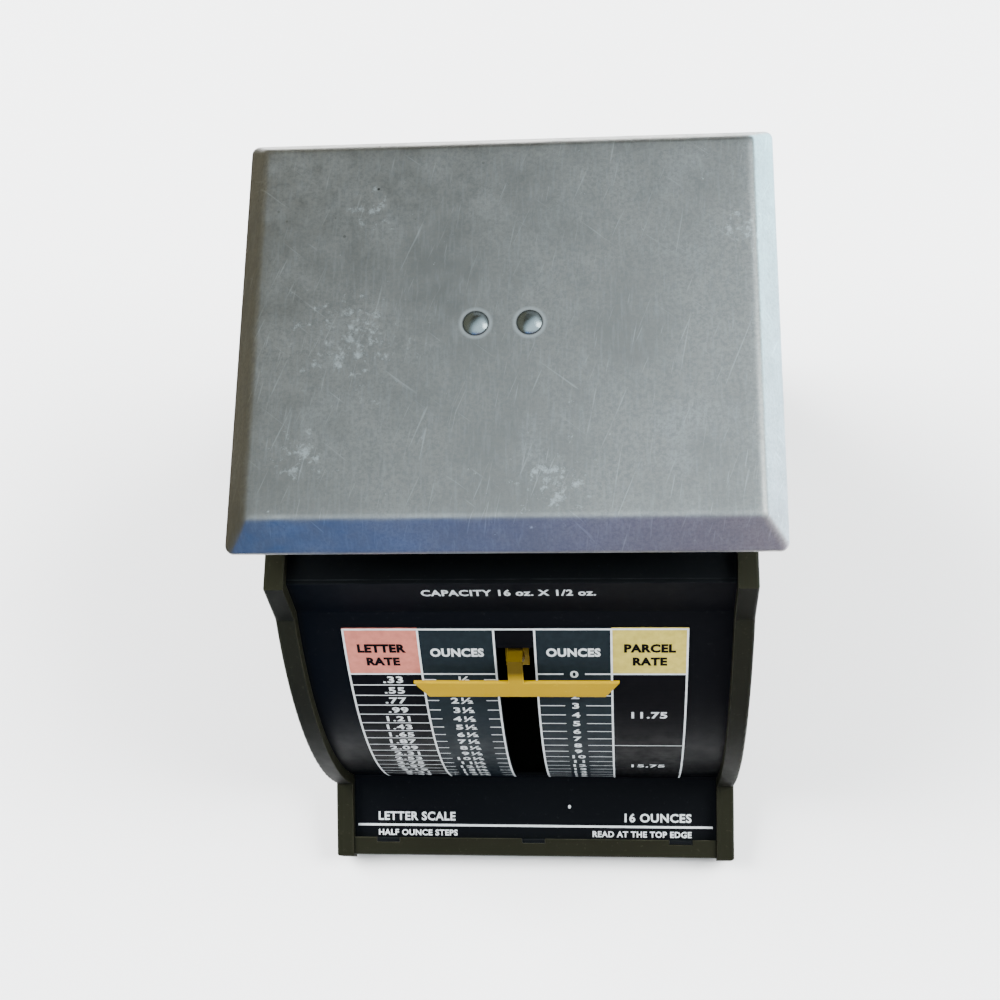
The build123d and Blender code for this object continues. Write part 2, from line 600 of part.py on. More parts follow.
BRACKET_CHEEK_X = 7.0
BRACKET_BOTTOM_Z = PIN_Z - 4.4
PLATFORM_UNDER_Z = PLATFORM_TOP_Z - SHEET
BRACKET_UNDER_Z = PLATFORM_UNDER_Z - PLATE
RIVET_SPACING = 10.5
RIVET_PLACES = [(-RIVET_SPACING / 2, PLATFORM_MID_Y), (RIVET_SPACING / 2, PLATFORM_MID_Y)]
RIVET_SHANK = 3.0
PIN_REACH = BRACKET_CHEEK_X + PLATE + 0.1


def cross_pin(name, z):
    """Pin through the bracket's cheeks, grooved at both ends for its clips."""
    half = PIN_REACH + CLIP_THICKNESS + 0.6
    with BuildPart() as pin:
        with BuildSketch(Plane.YZ.offset(-half)):
            with Locations((PIN_Y, z)):
                Circle(PIN_DIAMETER / 2)
        extrude(amount=2 * half)
        for start in (-PIN_REACH - CLIP_THICKNESS, PIN_REACH):
            with BuildSketch(Plane.YZ.offset(start)):
                with Locations((PIN_Y, z)):
                    Circle(PIN_DIAMETER / 2)
                    Circle(PIN_DIAMETER / 2 - CLIP_GROOVE, mode=Mode.SUBTRACT)
            extrude(amount=CLIP_THICKNESS, mode=Mode.SUBTRACT)
    save(pin.part, name)


cross_pin("lever_pin", PIN_Z)
cross_pin("link_pin", LINK_PIN_Z)
PIN_GROOVE = PIN_DIAMETER - 2 * CLIP_GROOVE
clips("lever_pin_clips", [(x, PIN_Y, PIN_Z, PIN_GROOVE) for x in (-PIN_REACH - CLIP_THICKNESS, PIN_REACH)])
clips("link_pin_clips", [(x, PIN_Y, LINK_PIN_Z, PIN_GROOVE) for x in (-PIN_REACH - CLIP_THICKNESS, PIN_REACH)])

with BuildPart() as platform_bracket:
    with BuildSketch(Plane.XY.offset(BRACKET_UNDER_Z)):
        with Locations((0, PLATFORM_MID_Y)):
            RectangleRounded(30, 20, 2)
        with Locations((0, PIN_Y)):
            Rectangle(2 * (BRACKET_CHEEK_X + PLATE), 9)
        with Locations(*RIVET_PLACES):
            Circle(RIVET_SHANK / 2, mode=Mode.SUBTRACT)
    extrude(amount=PLATE)
    for side in (-1, 1):
        with BuildSketch(Plane.YZ.offset(side * BRACKET_CHEEK_X)):
            with Locations((PIN_Y, (BRACKET_UNDER_Z + BRACKET_BOTTOM_Z) / 2)):
                Rectangle(9, BRACKET_UNDER_Z - BRACKET_BOTTOM_Z)
            for z in (PIN_Z, LINK_PIN_Z):
                with Locations((PIN_Y, z)):
                    Circle(PIN_DIAMETER / 2 + RUNNING_CLEARANCE, mode=Mode.SUBTRACT)
        extrude(amount=side * PLATE)
    with BuildSketch(Plane.XZ.offset(-(PIN_Y + 4.5))):
        with Locations((0, 40), (0, 82)):
            Rectangle(2 * BRACKET_CHEEK_X, 16, align=(Align.CENTER, Align.MIN))
    extrude(amount=PLATE)
save(platform_bracket.part, "platform_bracket")


def pan_block(inset, top_z, bottom_z):
    """Bevelled block of the platform, drawn inside its outer faces by an inset."""
    rim_width = PLATFORM_WIDTH - 2 * inset
    rim_depth = PLATFORM_DEPTH - 2 * inset
    bevel_z = PLATFORM_TOP_Z - BEVEL_RISE
    with BuildPart() as block:
        with BuildSketch(Plane.XY.offset(bottom_z)):
            with Locations((0, PLATFORM_MID_Y)):
                RectangleRounded(rim_width, rim_depth, 2.6 - inset)
        extrude(amount=bevel_z - bottom_z)
        with BuildSketch(Plane.XY.offset(bevel_z)):
            with Locations((0, PLATFORM_MID_Y)):
                RectangleRounded(rim_width, rim_depth, 2.6 - inset)
        with BuildSketch(Plane.XY.offset(top_z)):
            with Locations((0, PLATFORM_MID_Y)):
                RectangleRounded(rim_width - 2 * BEVEL_RUN, rim_depth - 2 * BEVEL_RUN, 2.2 - inset)
        loft()
    return block.part


RIM_BOTTOM_Z = PLATFORM_TOP_Z - BEVEL_RISE - HEM_DROP
PAN_OUTSIDE = pan_block(0, PLATFORM_TOP_Z, RIM_BOTTOM_Z)
PAN_INSIDE = pan_block(SHEET, PLATFORM_UNDER_Z, RIM_BOTTOM_Z)

with BuildPart() as platform:
    add(PAN_OUTSIDE)
    add(PAN_INSIDE, mode=Mode.SUBTRACT)
    with BuildSketch(Plane.XY.offset(PLATFORM_TOP_Z)):
        with Locations(*RIVET_PLACES):
            Circle(RIVET_SHANK / 2)
    extrude(amount=-3, mode=Mode.SUBTRACT)
save(platform.part, "platform")

RIVET_HEAD_RADIUS = 2.45
RIVET_HEAD_HEIGHT = 0.9
RIVET_SPHERE = (RIVET_HEAD_RADIUS ** 2 + RIVET_HEAD_HEIGHT ** 2) / (2 * RIVET_HEAD_HEIGHT)

with BuildPart() as platform_rivets:
    for x, y in RIVET_PLACES:
        with BuildSketch(Plane.XZ.offset(-y)):
            with BuildLine():
                ThreePointArc(
                    (x, PLATFORM_TOP_Z + RIVET_HEAD_HEIGHT),
                    (x + RIVET_SPHERE * sin(radians(19)),
                     PLATFORM_TOP_Z + RIVET_HEAD_HEIGHT - RIVET_SPHERE * (1 - cos(radians(19)))),
                    (x + RIVET_HEAD_RADIUS, PLATFORM_TOP_Z),
                )
                Polyline(
                    (x + RIVET_HEAD_RADIUS, PLATFORM_TOP_Z),
                    (x + RIVET_SHANK / 2, PLATFORM_TOP_Z),
                    (x + RIVET_SHANK / 2, BRACKET_UNDER_Z),
                    (x + RIVET_SHANK / 2 + 0.7, BRACKET_UNDER_Z),
                    (x + RIVET_SHANK / 2 + 0.3, BRACKET_UNDER_Z - 1.1),
                    (x, BRACKET_UNDER_Z - 1.1),
                    (x, PLATFORM_TOP_Z + RIVET_HEAD_HEIGHT),
                )
            make_face()
        revolve(axis=Axis((x, y, 0), (0, 0, 1)))
save(platform_rivets.part, "platform_rivets")

# ---------------------------------------------------------------- spring between lever and hanger

COIL_RADIUS = 3.6
WIRE = 0.8
HOOK_RADIUS = 2.6
LOW_HOOK_Z = HOOK_HOLE[1] + HOOK_RADIUS
HIGH_HOOK_Z = EYE_Z - HOOK_RADIUS

COIL_LOW_Z = LOW_HOOK_Z + HOOK_RADIUS + 4.0
COIL_HIGH_Z = HIGH_HOOK_Z - HOOK_RADIUS

with BuildPart() as extension_spring:
    with BuildSketch(Plane.XY.offset(COIL_LOW_Z)):
        with Locations((0, SPRING_Y)):
            Circle(COIL_RADIUS)
    extrude(amount=COIL_HIGH_Z - COIL_LOW_Z)
    with BuildSketch(Plane.XY.offset(LOW_HOOK_Z + HOOK_RADIUS)):
        with Locations((0, SPRING_Y)):
            Circle(WIRE * 0.4)
    extrude(amount=COIL_LOW_Z - LOW_HOOK_Z - HOOK_RADIUS + 0.5)
    for hook_z in (LOW_HOOK_Z, HIGH_HOOK_Z):
        with BuildSketch(Plane.YZ):
            with Locations((SPRING_Y, hook_z + HOOK_RADIUS)):
                Circle(WIRE / 2)
        revolve(axis=Axis((0, SPRING_Y, hook_z), (0, 1, 0)))
save(extension_spring.part, "extension_spring")
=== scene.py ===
import json
from math import atan2, copysign, cos, degrees, pi, radians, sin

import bpy
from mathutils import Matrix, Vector


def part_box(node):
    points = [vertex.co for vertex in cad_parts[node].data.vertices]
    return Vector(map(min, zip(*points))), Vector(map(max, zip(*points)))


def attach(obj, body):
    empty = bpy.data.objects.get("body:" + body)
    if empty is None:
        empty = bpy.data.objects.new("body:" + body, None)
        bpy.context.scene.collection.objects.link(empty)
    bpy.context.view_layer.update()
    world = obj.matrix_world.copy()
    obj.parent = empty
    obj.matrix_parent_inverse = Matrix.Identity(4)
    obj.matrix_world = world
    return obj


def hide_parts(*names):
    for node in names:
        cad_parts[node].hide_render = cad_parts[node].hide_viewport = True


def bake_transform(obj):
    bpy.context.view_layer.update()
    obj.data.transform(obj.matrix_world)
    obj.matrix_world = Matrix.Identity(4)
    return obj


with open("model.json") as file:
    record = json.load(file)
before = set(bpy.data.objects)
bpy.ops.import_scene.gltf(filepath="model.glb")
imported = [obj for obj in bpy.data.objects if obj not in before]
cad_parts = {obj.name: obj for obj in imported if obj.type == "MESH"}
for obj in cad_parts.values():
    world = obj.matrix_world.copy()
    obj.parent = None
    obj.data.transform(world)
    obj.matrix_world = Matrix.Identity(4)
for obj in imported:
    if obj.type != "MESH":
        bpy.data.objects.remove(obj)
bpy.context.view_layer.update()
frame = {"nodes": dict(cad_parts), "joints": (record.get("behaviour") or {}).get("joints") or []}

MM = 0.001
JOINTS = {joint["name"]: joint for joint in frame["joints"]}
PIVOT = Vector(JOINTS["lever_pivot"]["pos_m"])

# The dial, in degrees about the main pivot, measured up from the front
ZERO_ANGLE = 33.3
STEP = 2.04
HEADER_TOP = 40.7
DIAL_BOTTOM = -1.3
SLOT_TOP = 37.7
CHART_LOW, CHART_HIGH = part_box("rate_chart")
CHART_RADIUS = PIVOT.y - CHART_LOW.y
CHART_HALF = CHART_HIGH.x
SLOT_HALF = 4.0 * MM
COLUMN_SHARE = 0.2205
COLUMN = CHART_HALF * 2 * COLUMN_SHARE
SLOT_COLUMN_HALF = CHART_HALF - 2 * COLUMN


# ---------------------------------------------------------------- shader helpers

class Shader:
    """A material with a Principled shader, and short ways to add the nodes that feed it."""

    def __init__(self, name, color, roughness, metallic=0.0, specular=0.5, coat=0.0):
        self.material = bpy.data.materials.new(name)
        self.material.use_nodes = True
        self.nodes = self.material.node_tree.nodes
        self.links = self.material.node_tree.links
        self.bsdf = self.nodes["Principled BSDF"]
        self.bsdf.inputs["Base Color"].default_value = (*color, 1)
        self.bsdf.inputs["Roughness"].default_value = roughness
        self.bsdf.inputs["Metallic"].default_value = metallic
        self.bsdf.inputs["Specular IOR Level"].default_value = specular
        self.bsdf.inputs["Coat Weight"].default_value = coat
        self.bsdf.inputs["Coat Roughness"].default_value = 0.25
        self.coords = self.nodes.new("ShaderNodeTexCoord").outputs["Object"]

    def stretched(self, scale, turn=0.0):
        """Object coordinates in metres, turned about Z and then scaled per axis."""
        mapping = self.nodes.new("ShaderNodeMapping")
        mapping.vector_type = "TEXTURE" if turn else "POINT"
        if turn:
            mapping.inputs["Rotation"].default_value = (0, 0, radians(turn))
            scale = tuple(1 / s for s in scale)
        mapping.inputs["Scale"].default_value = scale
        self.links.new(self.coords, mapping.inputs["Vector"])
        return mapping.outputs["Vector"]

    def noise(self, scale, detail=4.0, roughness=0.55, vector=None):
        node = self.nodes.new("ShaderNodeTexNoise")
        node.inputs["Scale"].default_value = scale
        node.inputs["Detail"].default_value = detail
        node.inputs["Roughness"].default_value = roughness
        self.links.new(vector or self.coords, node.inputs["Vector"])
        return node.outputs["Fac"]

    def cells(self, scale, feature="F1"):
        node = self.nodes.new("ShaderNodeTexVoronoi")
        node.feature = feature
        node.inputs["Scale"].default_value = scale
        self.links.new(self.coords, node.inputs["Vector"])
        return node.outputs["Distance"]

    def remap(self, value, low, high, to_low=0.0, to_high=1.0):
        """Map a value's range on to another, clamped."""
        node = self.nodes.new("ShaderNodeMapRange")
        node.clamp = True
        node.inputs["From Min"].default_value = low
        node.inputs["From Max"].default_value = high
        node.inputs["To Min"].default_value = to_low
        node.inputs["To Max"].default_value = to_high
        self.links.new(value, node.inputs["Value"])
        return node.outputs["Result"]

    def math(self, operation, a, b):
        node = self.nodes.new("ShaderNodeMath")
        node.operation = operation
        node.use_clamp = True
        for socket, value in zip(node.inputs, (a, b)):
            if isinstance(value, (int, float)):
                socket.default_value = value
            else:
                self.links.new(value, socket)
        return node.outputs["Value"]

    def mix(self, factor, first, second):
        """Mix two colours, each a tuple or a socket."""
        node = self.nodes.new("ShaderNodeMix")
        node.data_type = "RGBA"
        self.links.new(factor, node.inputs["Factor"])
        for socket, value in zip((node.inputs["A"], node.inputs["B"]), (first, second)):
            self.put(value, socket)
        return node.outputs["Result"]

    def put(self, value, socket):
        if isinstance(value, tuple):
            socket.default_value = (*value, 1)
        else:
            self.links.new(value, socket)

    def color(self, value):
        self.links.new(value, self.bsdf.inputs["Base Color"])

    def roughness(self, value):
        self.links.new(value, self.bsdf.inputs["Roughness"])

    def edges(self, width):
        """Rounded-edge normal, and a mask that is 1 along sharp edges."""
        bevel = self.nodes.new("ShaderNodeBevel")
        bevel.samples = 6
        bevel.inputs["Radius"].default_value = width
        face = self.nodes.new("ShaderNodeNewGeometry")
        dot = self.nodes.new("ShaderNodeVectorMath")
        dot.operation = "DOT_PRODUCT"
        self.links.new(bevel.outputs["Normal"], dot.inputs[0])
        self.links.new(face.outputs["Normal"], dot.inputs[1])
        return bevel.outputs["Normal"], self.remap(dot.outputs["Value"], 0.985, 0.86)

    def distance_to(self, place, mirrored=False):
        """Distance in plan from a point, or from it and its mirror image across X."""
        parts = self.nodes.new("ShaderNodeSeparateXYZ")
        self.links.new(self.coords, parts.inputs["Vector"])
        flat = self.nodes.new("ShaderNodeCombineXYZ")
        side = parts.outputs["X"]
        if mirrored:
            absolute = self.nodes.new("ShaderNodeMath")
            absolute.operation = "ABSOLUTE"
            self.links.new(side, absolute.inputs[0])
            side = absolute.outputs["Value"]
        self.links.new(side, flat.inputs["X"])
        self.links.new(parts.outputs["Y"], flat.inputs["Y"])
        measure = self.nodes.new("ShaderNodeVectorMath")
        measure.operation = "DISTANCE"
        measure.inputs[1].default_value = (place[0], place[1], 0)
        self.links.new(flat.outputs["Vector"], measure.inputs[0])
        return measure.outputs["Value"]

    def bump(self, height, strength, distance, normal=None):
        node = self.nodes.new("ShaderNodeBump")
        if normal:
            self.links.new(normal, node.inputs["Normal"])
        node.inputs["Strength"].default_value = strength
        node.inputs["Distance"].default_value = distance
        self.links.new(height, node.inputs["Height"])
        self.links.new(node.outputs["Normal"], self.bsdf.inputs["Normal"])

    def position(self, axis):
        node = self.nodes.new("ShaderNodeSeparateXYZ")
        self.links.new(self.coords, node.inputs["Vector"])
        return node.outputs[axis]


def enamel(name, color, worn, roughness, specular, edge_wear_and_highlight=0.6):
    """Sprayed enamel: mottled and dusty, with fine specks and orange peel; paler edges, part worn
    paint and part painted highlight.
    """
    paint = Shader(name, color, roughness, specular=specular)
    mottle = paint.remap(paint.noise(55, 5), 0.35, 0.7)
    lighter = tuple(c * 1.15 for c in color)
    body = paint.mix(mottle, color, lighter)
    dust = paint.math("MULTIPLY", paint.remap(paint.noise(900, 3, 0.7), 0.62, 0.8), 0.35)
    dusty = paint.mix(dust, body, worn)
    specks = paint.remap(paint.cells(260), 0.035, 0.02)
    speckled = paint.mix(paint.math("MULTIPLY", specks, 0.5), dusty, worn)
    normal, edge = paint.edges(0.35 * MM)
    patchy = paint.remap(paint.noise(170, 4, 0.6), 0.38, 0.62, 0.25, 1.0)
    # Paler edges: patchy worn paint, and a painted highlight along folds and edges.
    wear = paint.math("MULTIPLY", paint.math("MULTIPLY", edge, patchy), edge_wear_and_highlight)
    paint.color(paint.mix(wear, speckled, worn))
    paint.roughness(paint.remap(paint.noise(330, 4), 0.3, 0.75, roughness - 0.03, roughness + 0.07))
    paint.bump(paint.noise(2400, 2, 0.5), 0.12, 0.00004, normal)
    return paint


def pointer_paint():
    """Yellow enamel, with painted shade darkening the neck where it runs back into the slot."""
    paint = enamel("pointer_yellow", (0.30, 0.188, 0.0), (0.52, 0.36, 0.01), 0.5, 0.05, 0.7)
    socket = paint.bsdf.inputs["Base Color"]
    unshaded_paint = socket.links[0].from_socket
    # Painted shade: the paint darkens upwards above the reading edge, where the neck runs into the
    # shadow of the slot.
    top = PIVOT.z + (CHART_RADIUS + 1.8 * MM) * sin(radians(ZERO_ANGLE))
    grime_and_painted_shade = paint.remap(paint.position("Z"), top + 0.9 * MM, top + 3.0 * MM, 0.0, 0.88)
    paint.color(paint.mix(grime_and_painted_shade, unshaded_paint, (0.030, 0.020, 0.001)))
    return paint.material


def ink(name, color, roughness=0.42, variation=0.12):
    """Screen-printed ink: slightly uneven cover over the sheet."""
    print_ink = Shader(name, color, roughness, specular=0.04)
    darker = tuple(c * (1 - 2 * variation) for c in color)
    uneven = print_ink.remap(print_ink.noise(700, 4), 0.35, 0.75)
    stain = print_ink.math("MULTIPLY", print_ink.remap(print_ink.noise(90, 5), 0.55, 0.8), 0.5)
    body = print_ink.mix(uneven, color, darker)
    print_ink.color(print_ink.mix(stain, body, tuple(c * 0.7 for c in color)))
    sheen = print_ink.noise(300, 3)
    print_ink.roughness(print_ink.remap(sheen, 0.3, 0.7, roughness - 0.08, roughness + 0.1))
    print_ink.bump(print_ink.noise(5000, 2), 0.08, 0.00002)
    return print_ink.material


def plated(name, color, roughness, grain=(3000, 80, 80)):
    """Bare or plated steel, brass or aluminium with a drawn grain and faint tarnish."""
    metal = Shader(name, color, roughness, metallic=1.0)
    normal, edge = metal.edges(0.2 * MM)
    streaks = metal.noise(1.0, 3, vector=metal.stretched(grain))
    tarnish = metal.remap(metal.noise(120, 5), 0.4, 0.75)
    dull = tuple(c * 0.62 for c in color)
    polished = tuple(min(1.0, c * 1.25) for c in color)
    worn_edge = metal.math("MULTIPLY", edge, 0.5)
    metal.color(metal.mix(worn_edge, metal.mix(tarnish, color, dull), polished))
    metal.roughness(metal.remap(streaks, 0.3, 0.7, roughness - 0.08, roughness + 0.14))
    metal.bump(streaks, 0.15, 0.00002, normal)
    return metal.material


# Scratches on the platform: turn in degrees, stretch per axis, and how rare they are
SCRATCHES = (
    (68, (70, 1700, 100), 0.68),
    (-38, (60, 1500, 100), 0.71),
    (80, (90, 1900, 100), 0.68),
)
# Scuffs on the platform: X, Y and reach, in metres
SCUFFS = (
    (-0.030, 0.024, 0.019),
    (-0.038, 0.000, 0.010),
    (-0.026, 0.052, 0.009),
    (0.010, -0.006, 0.013),
    (0.047, 0.045, 0.008),
)
SPECKS_PLACE = (-0.028, 0.066)
RIVET_PLACE = (5.25 * MM, 26.6 * MM)


def platform_finish():
    """Worn satin metal: fine grain, stains, scratches, scuffs, specks, and a painted highlight ring
    round each rivet.
    """
    metal = Shader("platform_worn_satin", (0.40, 0.42, 0.41), 0.42, metallic=1.0)
    grain = metal.noise(1500, 4, 0.7)
    weave = metal.noise(1.0, 4, 0.6, metal.stretched((1500, 190, 400)))
    stains = metal.remap(metal.noise(30, 7, 0.6), 0.44, 0.70)
    body = metal.mix(stains, (0.385, 0.374, 0.345), (0.27, 0.263, 0.242))
    blooms = metal.remap(metal.noise(75, 6, 0.65), 0.55, 0.75, 0, 0.5)
    clouded = metal.mix(blooms, body, (0.45, 0.455, 0.44))
    grained = metal.mix(metal.remap(grain, 0.40, 0.62, 0, 0.75), clouded, (0.265, 0.265, 0.252))
    streaked = metal.mix(metal.remap(weave, 0.5, 0.7, 0, 0.2), grained, (0.52, 0.54, 0.54))
    scratched = streaked
    for turn, scale, start in SCRATCHES:
        lines = metal.noise(1.0, 2, 0.5, metal.stretched(scale, turn))
        visible = metal.remap(lines, start, start + 0.06, 0, 0.26)
        scratched = metal.mix(visible, scratched, (0.74, 0.76, 0.75))
    wear = metal.noise(420, 6, 0.75)
    worn = scratched
    for x, y, reach in SCUFFS:
        near = metal.remap(metal.distance_to((x, y)), reach, 0.0, 0, 0.20)
        rubbed = metal.remap(metal.math("ADD", wear, near), 0.68, 0.78, 0, 0.7)
        worn = metal.mix(rubbed, worn, (0.66, 0.70, 0.69))
    grime_and_painted_shade = metal.remap(metal.cells(240), 0.09, 0.05)
    rear = metal.remap(metal.distance_to(SPECKS_PLACE), 0.030, 0.012)
    pitted = metal.mix(metal.math("MULTIPLY", grime_and_painted_shade, rear), worn, (0.09, 0.085, 0.075))
    # Painted highlight: a pale ring round each rivet stands in for light on a shallow embossed ring in
    # the sheet.
    rivet = metal.distance_to(RIVET_PLACE, mirrored=True)
    outer_fade = metal.remap(rivet, 3.5 * MM, 3.0 * MM)
    inner_fade = metal.remap(rivet, 2.55 * MM, 2.8 * MM)
    painted_ring_highlight = metal.math("MULTIPLY", outer_fade, inner_fade)
    ringed = metal.mix(metal.math("MULTIPLY", painted_ring_highlight, 0.45), pitted, (0.72, 0.75, 0.74))
    seat = metal.remap(rivet, 2.66 * MM, 2.5 * MM)
    metal.color(metal.mix(seat, ringed, (0.09, 0.09, 0.085)))
    metal.roughness(metal.remap(metal.noise(210, 6), 0.3, 0.75, 0.36, 0.52))
    normal, _ = metal.edges(0.3 * MM)
    rough = metal.math("ADD", metal.math("MULTIPLY", grain, 0.6), metal.math("MULTIPLY", weave, 0.15))
    metal.bump(rough, 0.30, 0.00003, normal)
    return metal.material


def rubber_finish():
    rubber = Shader("moulded_rubber", (0.022, 0.021, 0.02), 0.75, specular=0.3)
    bloom = rubber.remap(rubber.noise(160, 5), 0.45, 0.75)
    rubber.color(rubber.mix(bloom, (0.02, 0.019, 0.018), (0.05, 0.048, 0.045)))
    rubber.bump(rubber.noise(3200, 3), 0.2, 0.00006)
    return rubber.material


OLIVE = enamel("olive_enamel", (0.0078, 0.0081, 0.0048), (0.05, 0.05, 0.034), 0.5, 0.05).material
BLACK = enamel("black_enamel", (0.0020, 0.0024, 0.0028), (0.022, 0.025, 0.025), 0.42, 0.05).material
YELLOW = pointer_paint()
ZINC = plated("zinc_plate", (0.56, 0.57, 0.54), 0.36)
STEEL = plated("drawn_steel", (0.62, 0.62, 0.61), 0.28)
BRASS = plated("turned_brass", (0.72, 0.52, 0.22), 0.30, grain=(900, 900, 90))
ALUMINIUM = plated("rivet_aluminium", (0.30, 0.345, 0.345), 0.24, grain=(700, 700, 700))
PLATFORM = platform_finish()
RUBBER = rubber_finish()
INKS = {
    "black": ink("ink_black", (0.0028, 0.0028, 0.0032)),
    "slate": ink("ink_slate", (0.0105, 0.0165, 0.020)),
    "white": ink("ink_white", (0.62, 0.66, 0.68)),
    "pink": ink("ink_pink", (0.50, 0.165, 0.125)),
    "cream": ink("ink_cream", (0.50, 0.41, 0.085)),
}

NODE_FINISH = {
    OLIVE: ("side_panel_left", "side_panel_right", "base_pan"),
    BLACK: ("dial_panel", "top_cover", "rear_cover"),
    YELLOW: ("pointer",),
    ZINC: ("mechanism_frame", "frame_screws", "rear_cover_screws", "bridge_screws", "adjuster_bridge",
           "main_lever", "check_link", "platform_bracket"),
    STEEL: ("main_shaft", "check_shaft", "shaft_clips", "lever_pin", "lever_pin_clips", "link_pin",
            "link_pin_clips"),
    BRASS: ("pointer_screw", "zero_adjust_wheel", "spring_hanger"),
    ALUMINIUM: ("platform_rivets",),
    RUBBER: ("rubber_feet", "overload_stop"),
}
for finish, names in NODE_FINISH.items():
    for name in names:
        materials = frame["nodes"][name].data.materials
        materials.clear()
        materials.append(finish)


# ---------------------------------------------------------------- mesh helpers

def mesh_object(name, vertices, faces, materials, indices=None, smooth=True):
    """New mesh object in the shared frame."""
    mesh = bpy.data.meshes.new(name)
    mesh.from_pydata([tuple(v) for v in vertices], [], faces)
    for material in materials:
        mesh.materials.append(material)
    for polygon in mesh.polygons:
        polygon.use_smooth = smooth
        if indices:
            polygon.material_index = indices[polygon.index]
    mesh.update()
    piece = bpy.data.objects.new(name, mesh)
    bpy.context.scene.collection.objects.link(piece)
    return piece


def on_dial(x, angle, lift):
    """Point on the printed sheet: X, degrees above the front, and height off the sheet."""
    radius = CHART_RADIUS + lift
    return Vector((x, PIVOT.y - radius * cos(radians(angle)), PIVOT.z + radius * sin(radians(angle))))


INK_SHEET = 0.012 * MM


class Print:
    """Printed areas and lettering gathered into one mesh, mapped on to a surface by a function."""

    def __init__(self, surface):
        self.surface = surface
        self.vertices = []
        self.faces = []
        self.colors = []

    def area(self, color, left, right, low, high, lift, steps=1, sheet=INK_SHEET):
        """A flat slab of ink from left to right and low to high, its top at lift."""
        rows = []
        for k in range(steps + 1):
            along = low + (high - low) * k / steps
            row = [self.surface(left, along, lift - sheet), self.surface(left, along, lift),
                   self.surface(right, along, lift), self.surface(right, along, lift - sheet)]
            rows.append([self.add_vertex(point) for point in row])
        for first, second in zip(rows, rows[1:]):
            for k in range(4):
                after = (k + 1) % 4
                self.add_face((first[k], first[after], second[after], second[k]), color)
        self.add_face(tuple(rows[0][::-1]), color)
        self.add_face(tuple(rows[-1]), color)

    def add_vertex(self, point):
        self.vertices.append(point)
        return len(self.vertices) - 1

    def add_face(self, face, color):
        self.faces.append(face)
        self.colors.append(list(INKS).index(color))

    def text(self, words, color, x, along, height, width=None, lift=0.03 * MM,
             align="middle", scale=1.0, bold=0.026):
        """Bold lettering placed at x by align, its middle at along.

        Scale turns a height in metres into the units of along."""
        points, polygons = letter_mesh(words, bold)
        top = max(p.y for p in points)
        low = min(p.x for p in points)
        span = max(p.x for p in points) - low
        tall = height / top
        wide = width / span if width else tall * 1.25
        offset = {"left": 0.0, "middle": -span * wide / 2, "right": -span * wide}[align]
        base = len(self.vertices)
        for p in points:
            raised = 0.0 if p.z > 0 else -INK_SHEET
            across = x + (p.x - low) * wide + offset
            up = along + (p.y * tall - height / 2) * scale
            self.vertices.append(self.surface(across, up, lift + raised))
        for polygon in polygons:
            self.add_face(tuple(base + k for k in polygon), color)

    def build(self, name):
        inks = list(INKS.values())
        return mesh_object(name, self.vertices, self.faces, inks, self.colors, smooth=False)


LETTER_CACHE = {}


def letter_mesh(words, bold):
    """Vertices and faces of bold lettering, one unit high, from the built-in font."""
    if (words, bold) not in LETTER_CACHE:
        curve = bpy.data.curves.new("letters", "FONT")
        curve.body = words
        curve.resolution_u = 3
        curve.offset = bold
        curve.extrude = 0.01
        curve.space_character = 1.08
        holder = bpy.data.objects.new("letters", curve)
        bpy.context.scene.collection.objects.link(holder)
        bpy.context.view_layer.update()
        evaluated = holder.evaluated_get(bpy.context.evaluated_depsgraph_get())
        mesh = bpy.data.meshes.new_from_object(evaluated)
        points = [v.co.copy() for v in mesh.vertices]
        polygons = [tuple(p.vertices) for p in mesh.polygons]
        LETTER_CACHE[words, bold] = (points, polygons)
        bpy.data.objects.remove(holder)
        bpy.data.curves.remove(curve)
        bpy.data.meshes.remove(mesh)
    return LETTER_CACHE[words, bold]


# ---------------------------------------------------------------- printed dial

LINE = 0.42 * MM
THIN = 0.24 * MM
LINE_LIFT = 0.02 * MM
PER_METRE = degrees(1 / CHART_RADIUS)
EDGES = (
    -CHART_HALF,
    -CHART_HALF + COLUMN,
    -SLOT_COLUMN_HALF,
    SLOT_COLUMN_HALF,
    CHART_HALF - COLUMN,
    CHART_HALF,
)
SLOT_COLUMN = 2
CAPACITY_OUNCES = 16
FIRST_RATE_CENTS = 33
RATE_STEP_CENTS = 22


def ounce(count):
    """Angle of a weight's row on the dial."""
    return ZERO_ANGLE - STEP * count


def rate_columns(dial):
    """Column grounds, headers and borders."""
    headers = ("pink", "slate", "black", "slate", "cream")
    grounds = ("black", "slate", "black", "slate", "black")
    sheet = 0.3 * MM
    for k, (left, right) in enumerate(zip(EDGES, EDGES[1:])):
        if k == SLOT_COLUMN:
            dial.area("black", left, right, SLOT_TOP, HEADER_TOP, 0, 4, sheet)
            dial.area("black", left, -SLOT_HALF, DIAL_BOTTOM, SLOT_TOP, 0, 48, sheet)
            dial.area("black", SLOT_HALF, right, DIAL_BOTTOM, SLOT_TOP, 0, 48, sheet)
            continue
        dial.area(headers[k], left, right, ZERO_ANGLE, HEADER_TOP, 0, 10, sheet)
        dial.area(grounds[k], left, right, DIAL_BOTTOM, ZERO_ANGLE, 0, 44, sheet)
    for k, edge in enumerate(EDGES):
        left = min(max(edge - LINE / 2, -CHART_HALF), CHART_HALF - LINE)
        dial.area("white", left, left + LINE, DIAL_BOTTOM, HEADER_TOP, LINE_LIFT, 54)
    row_line(dial, -CHART_HALF, CHART_HALF, HEADER_TOP - LINE * PER_METRE / 2, LINE)


def row_line(dial, left, right, angle, thickness, lift=LINE_LIFT):
    half = thickness * PER_METRE / 2
    dial.area("white", left, right, angle - half, angle + half, lift)


def money(cents):
    """A rate as printed: no leading zero."""
    return f"{cents / 100:.2f}".lstrip("0")


